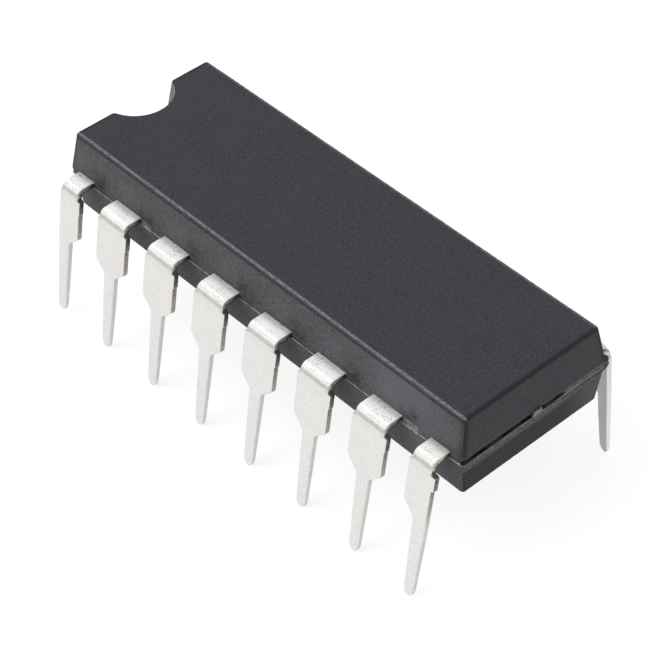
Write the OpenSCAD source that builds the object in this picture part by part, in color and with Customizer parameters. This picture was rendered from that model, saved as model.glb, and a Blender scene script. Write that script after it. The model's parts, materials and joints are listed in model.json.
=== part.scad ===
// Dual in-line integrated circuit package with sixteen leads.
// X runs along the body with the notch at -X, Y across the two rows, Z up from the lead tips.
// Lead 1 stands beside the notch in the -Y row, and the count runs round the body from there.

/* [Body] */
// Length of the moulded body past the middle of the end leads, at its parting line
end_margin = 0.66; // [0.5:0.02:1.1]
// Width of the moulded body at its parting line
body_w = 6.3; // [6.1:0.05:6.6]
// Height of the moulded half above the leads
upper_h = 1.42; // [1.38:0.01:1.7]
// Height of the moulded half below the leads
lower_h = 1.5; // [1.2:0.01:1.7]
// Lean of the long sides of the upper half, in degrees
upper_draft = 10; // [5:0.5:15]
// Lean of the long sides of the lower half, in degrees
lower_draft = 7.5; // [5:0.5:15]
// Lean of the end faces of the upper half, in degrees
upper_end_draft = 7; // [5:0.5:12]
// Lean of the end faces of the lower half, in degrees
lower_end_draft = 5.5; // [5:0.5:12]
// Radius of the four upright corners
corner_r = 0.12; // [0.1:0.01:0.4]
// Radius of the edges round the top and the underside
edge_r = 0.07; // [0.05:0.01:0.25]
// How far the parting band stands out beyond the two halves
flash = 0.03; // [0.01:0.01:0.08]

/* [Notch] */
// Radius at the top of the half-round notch that marks the lead 1 end
notch_r = 1.3; // [1:0.01:1.5]
// Distance of the notch's centre beyond the end of the body
notch_out = 0.11; // [0:0.01:0.3]
// Depth of the notch below the top
notch_depth = 1.36; // [0.5:0.01:1.36]
// Lean of the notch's wall, in degrees
notch_draft = 5; // [0:0.5:10]

/* [Ejector marks] */
// Diameter of the round moulding marks in the underside
ejector_d = 1.5; // [1:0.1:2]
// Depth of the moulding marks
ejector_depth = 0.06; // [0.03:0.01:0.1]
// Distance between the moulding marks
ejector_gap = 11; // [9:0.5:13]

/* [Leads] */
// Distance between neighbouring leads
pin_pitch = 2.54; // [2.5:0.01:2.58]
// Distance from the side of the body to the outside of a lead, just below the bend
lead_reach = 0.76; // [0.66:0.01:1]
// Thickness of the lead frame sheet
lead_t = 0.22; // [0.2:0.01:0.3]
// Outward lean of the legs, in degrees
splay = 9.2; // [2:0.2:12]
// Inside radius of the bend
bend_r = 0.07; // [0.05:0.01:0.25]
// Width of the wide shoulder of a lead
shoulder_w = 1.5; // [1.3:0.01:1.6]
// How much the bend is cut back from the shoulder on each side
neck_inset = 0.09; // [0.02:0.01:0.12]
// Width of the narrow leg at its upper end
pin_w = 0.56; // [0.48:0.01:0.6]
// Height of the narrow leg from its tip to the corner below the shoulder
seat_h = 3.08; // [2.8:0.02:3.3]
// Height of the slope between the narrow leg and the shoulder
slope_h = 0.42; // [0.2:0.02:0.6]
// Radius of the corners at both ends of that slope
slope_r = 0.2; // [0.05:0.01:0.3]
// Height of the underside of the body above the corner below the shoulder
body_gap = 0.68; // [0.5:0.02:0.9]
// Width to which the narrow leg tapers at its tip
tip_w = 0.41; // [0.4:0.01:0.47]
// Radius of the corners of the tip
tip_r = 0.18; // [0.05:0.01:0.18]
// Height of the dam bar stubs left on the sides of the shoulder
dambar_h = 0.55; // [0.4:0.01:0.7]
// How far those stubs stand out
dambar_stub = 0.05; // [0.02:0.01:0.1]
// Distance from the end of the bend to the top of the shoulder and its stubs
dambar_drop = 0.15; // [0.05:0.01:0.25]
// How far the coarser stubs on the outer sides of the end leads stand out
end_stub = 0.09; // [0.05:0.01:0.12]
// Distance from the end of the bend to the top of those coarser stubs
end_stub_drop = 0.24; // [0.15:0.01:0.35]

/* [Inside] */
// Depth to which the full width of a lead reaches into the body
anchor_l = 0.55; // [0.3:0.05:0.7]
// Width of the fingers that run to the die
finger_w = 0.36; // [0.25:0.01:0.42]
// Space between a finger and its neighbour or the tie bar, at the end of the pad
finger_space = 0.2; // [0.15:0.01:0.25]
// Gap between the die pad and the tips of the fingers
finger_gap = 0.4; // [0.3:0.02:0.5]
// How far the knee of a finger lies further out than its tip
finger_rise = 0.47; // [0.3:0.01:0.5]
// Distance of a wire's bond from the tip of its finger
stitch_in = 0.15; // [0.1:0.01:0.2]
// Length of the die pad
pad_l = 3.6; // [3:0.1:4]
// Width of the die pad
pad_w = 2.2; // [1.9:0.1:2.3]
// How far the die pad is pressed down below the fingers
pad_drop = 0.2; // [0.15:0.01:0.3]
// Width of the tie bars that held the pad while the body was moulded
tie_w = 0.4; // [0.3:0.02:0.5]
// How far the cut ends of the tie bars stand out of the parting band
tie_stub = 0.04; // [0.01:0.01:0.1]
// Length of the silicon die
die_l = 2.2; // [2.1:0.05:2.6]
// Width of the silicon die
die_w = 1.6; // [1.5:0.05:1.8]
// Thickness of the silicon die
die_t = 0.3; // [0.2:0.01:0.4]
// Thickness of the adhesive under the die
attach_t = 0.03; // [0.02:0.01:0.06]
// How far the adhesive spreads past the die
attach_rim = 0.06; // [0.02:0.01:0.1]
// Diameter of the bond wires
wire_d = 0.05; // [0.04:0.005:0.06]
// Diameter of the bonds at both ends of a wire
bond_d = 0.11; // [0.09:0.01:0.14]
// Height of those bonds
bond_h = 0.05; // [0.04:0.01:0.08]
// Angle of the arc that each wire makes, in degrees
wire_arc = 100; // [80:5:130]

/* [Hidden] */

// Leads in one row, and in the quarter of the package that the others are copied from
row_leads = 8;
quarter_leads = row_leads / 2;

// Steps in each rounded corner of an outline
arc_steps = 4;
// Facets round an upright corner of the body, and round the true round surfaces
corner_fn = 24;
round_fn = 48;
// Thickness of the thin slices that the moulded halves are blended from
slice_t = 0.001;
// How far a cutting shape runs past the surface that it cuts
over = 0.1;

// Distance between the two rows, at the middle of the sheet just below the bend
row_spacing = body_w + 2 * lead_reach - lead_t;
// Length of the moulded body at its parting line
body_l = (row_leads - 1) * pin_pitch + 2 * end_margin;

// Heights above the lead tips
body_bottom = seat_h + body_gap;
part_bottom = body_bottom + lower_h;
part_top = part_bottom + lead_t;
body_top = part_top + upper_h;

// The bend: how far it turns, its outside radius, and the axis that it turns about
turn = 90 - splay;
outer_r = bend_r + lead_t;
bend_y = (row_spacing + lead_t) / 2 - outer_r * sin(turn);
bend_z = part_bottom - bend_r;

// The leg below the bend: its length along the sheet, and the places on it, from the bend down
leg_l = (bend_z + bend_r * cos(turn)) / sin(turn);
seat_v = leg_l - seat_h / sin(turn);
slope_v = leg_l - (seat_h + slope_h) / sin(turn);

// The die and what carries it
pad_top = part_top - pad_drop;
die_bottom = pad_top + attach_t;
die_top = die_bottom + die_t;

// Where the tips of fingers 1 to 4 end: two at the end of the pad, and two along its side
first_tip_y = -(tie_w + finger_w) / 2 - finger_space;
side_tip_y = -(pad_w + finger_w) / 2 - finger_gap;
finger_tip = [
    [-pad_l / 2 - finger_gap, first_tip_y],
    [-pad_l / 2 - finger_gap, first_tip_y - finger_w - finger_space],
    [-pad_l / 2, side_tip_y],
    [-pad_l / 4, side_tip_y]
];
// Share of the way along X to the tip at which a finger has its knee
knee_share = 0.13;
// Places of the bonds of wires 1 to 4, as shares of half the die
die_bond = [[-0.85, -0.2], [-0.85, -0.55], [-0.62, -0.8], [-0.25, -0.8]];

// Colours
body_colour = [0.27, 0.27, 0.28];
lead_colour = [0.88, 0.88, 0.87];
pad_colour = [0.78, 0.5, 0.36];
attach_colour = [0.75, 0.75, 0.72];
die_colour = [0.35, 0.37, 0.42];
wire_colour = [0.93, 0.76, 0.35];

// Place of a quarter lead along the row
function lead_x(i) = -(quarter_leads + 0.5 - i) * pin_pitch;

// Where the finger of a quarter lead bends
function finger_knee(i) = [
    lead_x(i) + (finger_tip[i - 1][0] - lead_x(i)) * knee_share,
    finger_tip[i - 1][1] - finger_rise
];

// Half width on the outer side, where the end leads are straight, and both half widths in the bend
function outer_half(i) = i == 1 ? pin_w / 2 : shoulder_w / 2;
function outer_neck(i) = outer_half(i) - neck_inset;
inner_neck = shoulder_w / 2 - neck_inset;

function unit(v) = v / norm(v);
function left_of(v) = [-v[1], v[0]];

// Outline of a strip of width w along three points, with a mitred knee
function strip(p, q, r, w) =
    let (a = left_of(unit(q - p)), b = left_of(unit(r - q)), m = (a + b) / (1 + a * b), h = w / 2)
    [p + a * h, q + m * h, r + b * h, r - b * h, q - m * h, p - a * h];

// Corner q of an outline between p and s, rounded with radius r
function round_corner(p, q, s, r) =
    let (a = unit(p - q), b = unit(s - q), cosine = a * b)
    r == 0 || cosine < -0.9999 ? [q] :
    let (
        half = acos(cosine) / 2,
        middle = q + unit(a + b) * r / sin(half),
        start = q + a * r / tan(half) - middle,
        side = a[0] * b[1] - a[1] * b[0] > 0 ? -1 : 1,
        sweep = side * (180 - 2 * half)
    )
    [for (n = [0 : arc_steps]) let (t = sweep * n / arc_steps)
        middle + [start[0] * cos(t) - start[1] * sin(t), start[0] * sin(t) + start[1] * cos(t)]];

// Outline with each corner [x, y, radius] rounded
function rounded(c) = [for (k = [0 : len(c) - 1])
    let (p = c[(k + len(c) - 1) % len(c)], q = c[k], s = c[(k + 1) % len(c)])
    each round_corner([p[0], p[1]], [q[0], q[1]], [s[0], s[1]], q[2])];

// One side of a leg's outline, from the bend to the tip: h is the half width of the shoulder,
// and the stub stands out by s from the distance v below the bend
function leg_side(h, s, v) = [
    [h - neck_inset, 0, 0],
    [h - neck_inset, v, 0],
    [h + s, v, 0],
    [h + s, v + dambar_h, 0],
    [h, v + dambar_h, 0],
    each h > pin_w / 2 ? [[h, slope_v, slope_r], [pin_w / 2, seat_v, slope_r]] : [],
    [tip_w / 2, leg_l, tip_r]
];

// Whole outline of a leg, with distances below the bend along -Y
function leg_outline(i) = let (
        inner = leg_side(shoulder_w / 2, dambar_stub, dambar_drop),
        outer = i == 1 ? leg_side(outer_half(i), end_stub, end_stub_drop) : inner,
        count = len(outer)
    )
    rounded([
        for (c = inner) [c[0], -c[1], c[2]],
        for (k = [1 : count]) let (c = outer[count - k]) [-c[0], -c[1], c[2]]
    ]);

// Copies a shape of the first quarter to the place of lead n
module to_lead(n) {
    m = (n - 1) % row_leads + 1;
    rotate([0, 0, n > row_leads ? 180 : 0])
        mirror([m > quarter_leads ? 1 : 0, 0, 0])
            children();
}

// Number of the quarter lead that lead n is a copy of
function quarter(n) = let (m = (n - 1) % row_leads + 1) m > quarter_leads ? row_leads + 1 - m : m;

// Flat part of a lead, from the tip of its finger to the start of the bend
module lead_flat(i) {
    x = lead_x(i);
    left = x - outer_neck(i);
    width = outer_neck(i) + inner_neck;
    anchor_y = body_w / 2 - anchor_l;
    middle = left + width / 2;
    translate([0, 0, part_bottom])
        linear_extrude(lead_t)
            union() {
                translate([left, -bend_y])
                    square([width, bend_y - anchor_y]);
                polygon(strip([middle, -anchor_y - anchor_l / 2], finger_knee(i), finger_tip[i - 1], finger_w));
            }
}

// Bend and leg of a lead, outside the body
module lead_leg(i) {
    x = lead_x(i);
    translate([x, -bend_y, bend_z]) {
        rotate([180, 0, 0])
            rotate([0, 90, 0])
                rotate_extrude(angle = turn, $fn = round_fn)
                    translate([bend_r, -outer_neck(i)])
                        square([lead_t, outer_neck(i) + inner_neck]);
        rotate([turn, 0, 0])
            translate([0, 0, bend_r])
                linear_extrude(lead_t)
                    polygon(leg_outline(i));
    }
}

module lead(n) {
    color(lead_colour)
        to_lead(n)
            union() {
                lead_flat(quarter(n));
                lead_leg(quarter(n));
            }
}

// Bond wire from the die to the finger of quarter lead i
module wire_solid(i) {
    tip = finger_tip[i - 1];
    land = tip - unit(tip - finger_knee(i)) * stitch_in;
    bond = [die_bond[i - 1][0] * die_l / 2, die_bond[i - 1][1] * die_w / 2];
    run = norm(land - bond);
    drop = part_top - die_top;
    tilt = atan2(drop, run);
    half = wire_arc / 2;
    loop_r = norm([run, drop]) / 2 / sin(half);
    depth = loop_r * cos(half);
    translate([bond[0], bond[1], die_top])
        cylinder(d = bond_d, h = bond_h, $fn = round_fn);
    translate([land[0], land[1], part_top])
        cylinder(d = bond_d, h = bond_h, $fn = round_fn);
    translate([bond[0], bond[1], die_top + bond_h / 2])
        rotate([0, 0, atan2(land[1] - bond[1], land[0] - bond[0])])
            rotate([90, 0, 0])
                translate([run / 2 + depth * sin(tilt), drop / 2 - depth * cos(tilt), 0])
                    rotate([0, 0, 90 - half + tilt])
                        rotate_extrude(angle = wire_arc, $fn = round_fn)
                            translate([loop_r, 0])
                                circle(d = wire_d, $fn = round_fn);
}

module bond_wire(n) {
    color(wire_colour)
        to_lead(n)
            union() wire_solid(quarter(n));
}

// Die pad with its two tie bars, which run out through the ends of the body
module die_pad() {
    end_x = body_l / 2 + flash + tie_stub;
    pad_x = pad_l / 2;
    slope_x = pad_x + 2 * pad_drop;
    color(pad_colour)
        union() {
            translate([-pad_x, -pad_w / 2, pad_top - lead_t])
                cube([pad_l, pad_w, lead_t]);
            for (side = [0, 180])
                rotate([0, 0, side])
                    translate([0, tie_w / 2, 0])
                        rotate([90, 0, 0])
                            linear_extrude(tie_w)
                                polygon([
                                    [pad_x - tie_w, pad_top - lead_t],
                                    [pad_x, pad_top - lead_t],
                                    [slope_x, part_bottom],
                                    [end_x, part_bottom],
                                    [end_x, part_top],
                                    [slope_x, part_top],
                                    [pad_x, pad_top],
                                    [pad_x - tie_w, pad_top]
                                ]);
        }
}

// Adhesive between the pad and the die
module die_attach() {
    l = die_l + 2 * attach_rim;
    w = die_w + 2 * attach_rim;
    color(attach_colour)
        translate([-l / 2, -w / 2, pad_top])
            cube([l, w, attach_t]);
}

module silicon_die() {
    color(die_colour)
        translate([-die_l / 2, -die_w / 2, die_bottom])
            cube([die_l, die_w, die_t]);
}

// Thin slice of the body at height z, drawn in by dx and dy from the parting outline
module slice(z, dx, dy) {
    r = corner_r;
    translate([0, 0, z])
        for (sx = [-1, 1], sy = [-1, 1])
            translate([sx * (body_l / 2 - dx - r), sy * (body_w / 2 - dy - r), 0])
                cylinder(r = r, h = slice_t, $fn = corner_fn);
}

// One moulded half of height h above the parting plane, with rounded outer edges
module half_body(h, draft, end_draft) {
    hull() {
        slice(0, 0, 0);
        for (a = [0, 30, 60, 90]) {
            z = h - edge_r * (1 - sin(a)) - slice_t;
            inset = edge_r * (1 - cos(a));
            slice(z, z * tan(end_draft) + inset, z * tan(draft) + inset);
        }
    }
}

// Parting band, as thick as the lead frame
module band() {
    translate([0, 0, part_bottom])
        linear_extrude(lead_t)
            hull()
                for (sx = [-1, 1], sy = [-1, 1])
                    translate([sx * (body_l / 2 - corner_r), sy * (body_w / 2 - corner_r)])
                        circle(r = corner_r + flash, $fn = corner_fn);
}

module moulded_body() {
    color(body_colour)
        difference() {
            union() {
                band();
                translate([0, 0, part_top - slice_t])
                    half_body(upper_h + slice_t, upper_draft, upper_end_draft);
                translate([0, 0, part_bottom + slice_t])
                    mirror([0, 0, 1])
                        half_body(lower_h + slice_t, lower_draft, lower_end_draft);
            }
            translate([-body_l / 2 - notch_out, 0, body_top - notch_depth])
                cylinder(
                    r1 = notch_r - notch_depth * tan(notch_draft),
                    r2 = notch_r + over * tan(notch_draft),
                    h = notch_depth + over,
                    $fn = round_fn
                );
            for (side = [-1, 1])
                translate([side * ejector_gap / 2, 0, body_bottom - over])
                    cylinder(d = ejector_d, h = ejector_depth + over, $fn = round_fn);
            for (n = [1 : 2 * row_leads])
                to_lead(n) {
                    lead_flat(quarter(n));
                    wire_solid(quarter(n));
                }
            die_pad();
            die_attach();
            silicon_die();
        }
}

moulded_body();
die_pad();
die_attach();
silicon_die();
lead(1);  // lead_01
lead(2);  // lead_02
lead(3);  // lead_03
lead(4);  // lead_04
lead(5);  // lead_05
lead(6);  // lead_06
lead(7);  // lead_07
lead(8);  // lead_08
lead(9);  // lead_09
lead(10);  // lead_10
lead(11);  // lead_11
lead(12);  // lead_12
lead(13);  // lead_13
lead(14);  // lead_14
lead(15);  // lead_15
lead(16);  // lead_16
bond_wire(1);  // bond_wire_01
bond_wire(2);  // bond_wire_02
bond_wire(3);  // bond_wire_03
bond_wire(4);  // bond_wire_04
bond_wire(5);  // bond_wire_05
bond_wire(6);  // bond_wire_06
bond_wire(7);  // bond_wire_07
bond_wire(8);  // bond_wire_08
bond_wire(9);  // bond_wire_09
bond_wire(10);  // bond_wire_10
bond_wire(11);  // bond_wire_11
bond_wire(12);  // bond_wire_12
bond_wire(13);  // bond_wire_13
bond_wire(14);  // bond_wire_14
bond_wire(15);  // bond_wire_15
bond_wire(16);  // bond_wire_16
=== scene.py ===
"""Dual in-line integrated circuit: its surfaces, a white studio and the photograph's camera."""
import json
import math
import random

import bpy
from mathutils import Matrix, Vector, noise


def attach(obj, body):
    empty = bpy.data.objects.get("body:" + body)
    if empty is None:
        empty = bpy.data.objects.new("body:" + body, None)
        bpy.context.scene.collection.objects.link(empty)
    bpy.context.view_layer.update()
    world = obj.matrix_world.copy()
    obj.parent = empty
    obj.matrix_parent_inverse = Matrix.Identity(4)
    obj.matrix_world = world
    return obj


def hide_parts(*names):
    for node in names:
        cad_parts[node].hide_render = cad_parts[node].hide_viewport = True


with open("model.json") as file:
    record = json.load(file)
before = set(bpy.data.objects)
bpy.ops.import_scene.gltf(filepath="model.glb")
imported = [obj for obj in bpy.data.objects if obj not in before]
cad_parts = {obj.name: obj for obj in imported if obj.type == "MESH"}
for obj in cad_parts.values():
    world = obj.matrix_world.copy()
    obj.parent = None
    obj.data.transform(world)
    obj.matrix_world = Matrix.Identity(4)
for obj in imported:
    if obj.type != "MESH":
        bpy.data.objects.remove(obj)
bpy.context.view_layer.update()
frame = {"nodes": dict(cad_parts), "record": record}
nodes = frame["nodes"]
MM = 0.001

# Sizes, in millimetres and degrees, as in the part's source
BODY_L, BODY_W = 19.1, 6.3
UPPER_H, LOWER_H = 1.42, 1.50
UPPER_DRAFT, LOWER_DRAFT = 10.0, 7.5
UPPER_END_DRAFT, LOWER_END_DRAFT = 7.0, 5.5
CORNER_R, EDGE_R = 0.12, 0.07
NOTCH_R, NOTCH_OUT, NOTCH_DEPTH = 1.30, 0.11, 1.36
ROW_LEADS, PITCH, LEAD_REACH, LEAD_T = 8, 2.54, 0.76, 0.22
SPLAY, BEND_R = 9.2, 0.07
SHOULDER_W, NECK_INSET, PIN_W = 1.5, 0.09, 0.56
SEAT_H, SLOPE_H, SLOPE_R, BODY_GAP = 3.08, 0.42, 0.2, 0.68
TIP_W, TIP_R = 0.41, 0.18
DAMBAR_H, DAMBAR_STUB, DAMBAR_DROP = 0.55, 0.05, 0.15
END_STUB, END_STUB_DROP = 0.09, 0.24

# The notch as the photograph shows it: the wall leans more than in the source, and the lips and the
# corners beside it are softer
NOTCH_DRAFT, NOTCH_LIP, NOTCH_CORNER_R = 11.0, 0.16, 0.09

# Heights of the body and its parting line, where the leads leave it
BODY_BOTTOM = SEAT_H + BODY_GAP
PART_BOTTOM = BODY_BOTTOM + LOWER_H
PART_TOP = PART_BOTTOM + LEAD_T
BODY_TOP = PART_TOP + UPPER_H

# The leads' bend, its axis and its lower end, and places down the leg, measured from that end
TURN = math.radians(90 - SPLAY)
OUTER_R = BEND_R + LEAD_T
BEND_Y = BODY_W / 2 + LEAD_REACH - OUTER_R * math.sin(TURN)
BEND_Z = PART_BOTTOM - BEND_R
CREASE_Y = BEND_Y + OUTER_R * math.sin(TURN)
CREASE_Z = BEND_Z + OUTER_R * math.cos(TURN)
LEG_L = (BEND_Z + BEND_R * math.cos(TURN)) / math.sin(TURN)
SEAT_V = LEG_L - SEAT_H / math.sin(TURN)
SLOPE_V = LEG_L - (SEAT_H + SLOPE_H) / math.sin(TURN)

# Single leads are a little out of line: the flat part and the leg turned outwards, the leg turned
# aside along the row, in degrees, and how much shorter the leg is, in millimetres
LEAD_FAULTS = {
    1: (0.0, -0.2, 0.3, 0.17),
    2: (0.0, 0.0, 0.2, 0.09),
    3: (0.0, 0.0, 0.2, 0.04),
    5: (0.0, 0.2, 0.1, 0.0),
    6: (0.0, -0.3, 0.3, 0.0),
    7: (0.0, 0.0, 0.5, 0.0),
    8: (0.0, 0.0, 0.3, 0.0),
    9: (-29.9, -4.0, -0.1, 0.39),
    12: (0.0, 0.3, -0.3, 0.03),
}
NO_FAULT = (0.0, 0.0, 0.0, 0.0)

# Lead 9 is the worst: its leg is also twisted, in degrees, and reaches further out, in millimetres
TWISTED_LEADS = {9: (-17.0, 0.2)}
NO_TWIST = (0.0, 0.0)

# The whole near row sits a little towards the notch, in millimetres, and its legs lean further out,
# in degrees
ROW_SHIFT, ROW_LEAN = 0.05, 0.8

# The photograph's camera, from the corners of the body and the leads: degrees, millimetres, pixels
CAMERA = {
    "azimuth": 49.25,
    "elevation": 43.58,
    "roll": -2.0,
    "target": (0.644, -0.785, 3.5),
    "distance": 75.36,
}
IMAGE_PX = 645
FOCAL_PX = 2281.4
SENSOR_MM = 36.0
CLIP_M = (0.005, 5.0)


def slope(degrees):
    """Tangent of an angle in degrees."""
    return math.tan(math.radians(degrees))


def share(value):
    """The value, kept between 0 and 1."""
    return min(1.0, max(0.0, value))


# Node helpers

class Nodes:
    """A short way to write a node tree of a material or a world."""

    def __init__(self, owner, output):
        owner.use_nodes = True
        self.owner, self.tree = owner, owner.node_tree
        self.tree.nodes.clear()
        self.out = self.add(output)

    def add(self, kind, **values):
        node = self.tree.nodes.new("ShaderNode" + kind)
        for key, value in values.items():
            if hasattr(node, key) and key not in node.inputs:
                setattr(node, key, value)
            else:
                self.put(node, key, value)
        return node

    def put(self, node, key, value):
        socket = node.inputs[key]
        if isinstance(value, bpy.types.NodeSocket):
            self.tree.links.new(value, socket)
        else:
            socket.default_value = value

    def math(self, operation, a, b=0.0):
        node = self.add("Math", operation=operation)
        self.put(node, 0, a)
        self.put(node, 1, b)
        return node.outputs[0]

    def plus(self, a, b):
        return self.math("ADD", a, b)

    def minus(self, a, b):
        return self.math("SUBTRACT", a, b)

    def times(self, *values):
        """Product of two or more values."""
        product = values[0]
        for value in values[1:]:
            product = self.math("MULTIPLY", product, value)
        return product

    def larger(self, a, b):
        return self.math("MAXIMUM", a, b)

    def size(self, value):
        return self.math("ABSOLUTE", value)

    def length(self, a, b):
        """Length of the vector of a and b."""
        return self.math("SQRT", self.plus(self.times(a, a), self.times(b, b)))

    def step(self, value, low, high):
        """Smooth rise from 0 at low to 1 at high, or a fall where low is the larger of the two."""
        node = self.add("MapRange", interpolation_type="SMOOTHSTEP", Value=value,
                        **{"From Min": low, "From Max": high})
        return node.outputs["Result"]

    def span(self, value, low, high, soft):
        """1 between low and high, falling to 0 over soft beyond them."""
        return self.times(self.step(value, low - soft, low), self.step(value, high + soft, high))

    def mix(self, factor, a, b):
        """Colour between a and b."""
        node = self.add("Mix", data_type="RGBA")
        self.put(node, 0, factor)
        for index, colour in ((6, a), (7, b)):
            is_socket = isinstance(colour, bpy.types.NodeSocket)
            self.put(node, index, colour if is_socket else (*colour, 1.0))
        return node.outputs[2]

    def blend(self, factor, a, b):
        """Number between a and b."""
        node = self.add("Mix", data_type="FLOAT")
        for index, value in ((0, factor), (2, a), (3, b)):
            self.put(node, index, value)
        return node.outputs[0]

    def paint(self, colour, mask, amount, coat):
        """The colour with a coat where the mask is, as strong as the amount."""
        return self.mix(self.times(mask, amount), colour, coat)

    def finish(self, shader):
        self.tree.links.new(shader, self.out.inputs["Surface"])
        return self.owner


class Surface(Nodes):
    """A material's nodes, with position in millimetres and facing in the object's own frame."""

    def __init__(self, name):
        super().__init__(bpy.data.materials.new(name), "OutputMaterial")
        coords = self.add("TexCoord")
        scaled = self.add("VectorMath", operation="SCALE", Scale=1 / MM)
        self.put(scaled, 0, coords.outputs["Object"])
        self.pos = scaled.outputs[0]
        self.x, self.y, self.z = self.parts(self.pos)
        self.nx, self.ny, self.nz = self.parts(coords.outputs["Normal"])

    def parts(self, vector):
        return self.add("SeparateXYZ", Vector=vector).outputs

    def noise(self, scale, detail, rough, stretch=None):
        """Noise over the position, or over the position times stretch."""
        vector = self.pos
        if stretch:
            vector = self.add("Mapping", Vector=vector, Scale=stretch).outputs["Vector"]
        node = self.add("TexNoise", Vector=vector, Scale=scale, Detail=detail, Roughness=rough)
        return node.outputs["Fac"]

    def spots(self, low, high, scale, detail, rough, stretch=None):
        """Noise with more contrast: 0 where it is at low and 1 where it is at high."""
        return self.step(self.noise(scale, detail, rough, stretch), low, high)

    def unrest(self, height, scale, detail, rough):
        """Noise of the given height about 0."""
        return self.times(self.minus(self.noise(scale, detail, rough), 0.5), height)

    def row_wave(self, offset):
        """Cosine along the row of leads, one wave for each lead."""
        return self.math("COSINE", self.times(self.plus(self.x, offset), 2 * math.pi / PITCH))

    def bump(self, height, distance, strength):
        node = self.add("Bump", Height=height, Distance=distance * MM, Strength=strength)
        return node.outputs["Normal"]

    def principled(self, colour, roughness, normal, **others):
        """The finished material; others name its remaining inputs."""
        shader = self.add("BsdfPrincipled", Roughness=roughness, Normal=normal,
                          **{"Base Color": colour}, **others)
        return self.finish(shader.outputs[0])


# Moulding compound

COMPOUND = {
    "dark grain": (0.0235, 0.0237, 0.028),
    "light grain": (0.0495, 0.050, 0.0575),
    "cloud": (0.044, 0.0445, 0.0505),
    "side_sheen": (0.070, 0.071, 0.080),
    "under edge": (0.012, 0.012, 0.015),
    "wear_and_highlight": (0.18, 0.182, 0.195),
    "end edge shade": (0.013, 0.013, 0.016),
    "rim": (0.53, 0.535, 0.55),
    "rough end": (0.055, 0.056, 0.060),
    "chip": (0.125, 0.127, 0.133),
    "fleck": (0.32, 0.325, 0.34),
    "pit": (0.015, 0.015, 0.016),
    "groove": (0.004, 0.004, 0.005),
    "lump": (0.013, 0.011, 0.010),
    "spill": (0.17, 0.172, 0.18),
    "shadow_line": (0.006, 0.006, 0.007),
    "flash": (0.40, 0.405, 0.42),
    "lower end light": (0.062, 0.063, 0.066),
    "lower end shade": (0.011, 0.011, 0.012),
    "dark_reflection": (0.016, 0.016, 0.019),
    "light_reflection": (0.085, 0.086, 0.098),
}

# Bands along the parting line, in millimetres: lowest and highest above its lower side, and how far
# they fade beyond that
BANDS = {
    "rim": (-0.06, -0.018, 0.014),
    "rough end": (-0.36, -0.03, 0.09),
    "fleck": (-0.17, -0.06, 0.04),
    "groove": (-0.035, 0.16, 0.015),
    "lump": (-0.16, LEAD_T - 0.03, 0.03),
    "spill": (-0.02, LEAD_T - 0.10, 0.05),
    "shadow_line": (-0.20, -0.15, 0.03),
    "flash": (-0.12, LEAD_T - 0.02, 0.04),
}

# The groove of the ends is at least this deep, and painted as filled where x times y rises from the
# first to the second of these
GROOVE_DEPTH = 0.10
FILLED = (10.0, 13.0)

# A lump of flash sits at the corner beside lead 9, beyond these
LUMP_X, LUMP_Y = 9.2, 2.9

# Places along the row: from, to, and how far they fade beyond that
SIDE_SHEEN_X = (6.3, 7.6, 1.5)
FLASH_7_X, FLASH_2_X = (7.05, 7.55, 0.15), (-5.65, -5.3, 0.12)

# Painted dark reflections and painted light reflections repeat along the row, with these offsets
DARK_REFLECTION_OFFSET, LIGHT_REFLECTION_OFFSET = 0.4, 1.37

# How far a side or end face has to be turned to its axis to be painted as one
FACING = (0.6, 0.85)


def band(n, name, height):
    low, high, soft = BANDS[name]
    return n.span(height, PART_BOTTOM + low, PART_BOTTOM + high, soft)


def near_line(n, across, line_across, line_z, inner, outer, ragged):
    """1 within inner of a line along the body, falling to 0 at outer, with a ragged outline."""
    distance = n.length(n.minus(across, line_across), n.minus(n.z, line_z))
    return n.step(n.plus(distance, n.unrest(ragged, scale=9.0, detail=4.0, rough=0.7)), outer, inner)


def edge_wear_and_shade(n, colour):
    """The edges of the top, with wear, painted highlights and painted shade: the colour, and where the long
    ones are dark below.
    """
    across, along = n.size(n.y), n.size(n.x)
    top_y = BODY_W / 2 - UPPER_H * slope(UPPER_DRAFT)
    top_x = BODY_L / 2 - UPPER_H * slope(UPPER_END_DRAFT)

    # The long edges are worn pale and carry a painted highlight, in a rope-like line that is weaker on the
    # far edge, with a dark line under them
    under = near_line(n, across, top_y + 0.02, BODY_TOP - 0.10, inner=0.03, outer=0.09, ragged=0.05)
    colour = n.paint(colour, under, 0.8, COMPOUND["under edge"])
    wear_and_highlight = near_line(n, across, top_y - 0.068, BODY_TOP, inner=0.02, outer=0.068, ragged=0.09)
    strands = n.spots(0.38, 0.58, scale=11.0, detail=3.0, rough=0.6)
    far_edge = n.step(n.y, -1.0, 1.0)
    pale = n.minus(n.plus(0.35, n.times(strands, 0.65)), n.times(far_edge, 0.35))
    colour = n.paint(colour, wear_and_highlight, pale, COMPOUND["wear_and_highlight"])

    # Painted shade: the edges of the ends and the upper upright corners are painted dark
    end_edge = near_line(n, along, top_x - 0.03, BODY_TOP - 0.015, inner=0.03, outer=0.16, ragged=0.04)
    rise = n.minus(n.z, PART_TOP)
    from_x = n.minus(n.minus(BODY_L / 2, along), n.times(rise, slope(UPPER_END_DRAFT)))
    from_y = n.minus(n.minus(BODY_W / 2, across), n.times(rise, slope(UPPER_DRAFT)))
    upright = n.times(n.step(n.plus(from_x, from_y), 0.26, 0.08), n.step(rise, 0.0, 0.1))
    dark = n.times(n.larger(end_edge, upright), n.minus(1.0, wear_and_highlight))
    return n.paint(colour, dark, 0.86, COMPOUND["end edge shade"]), under


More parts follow.
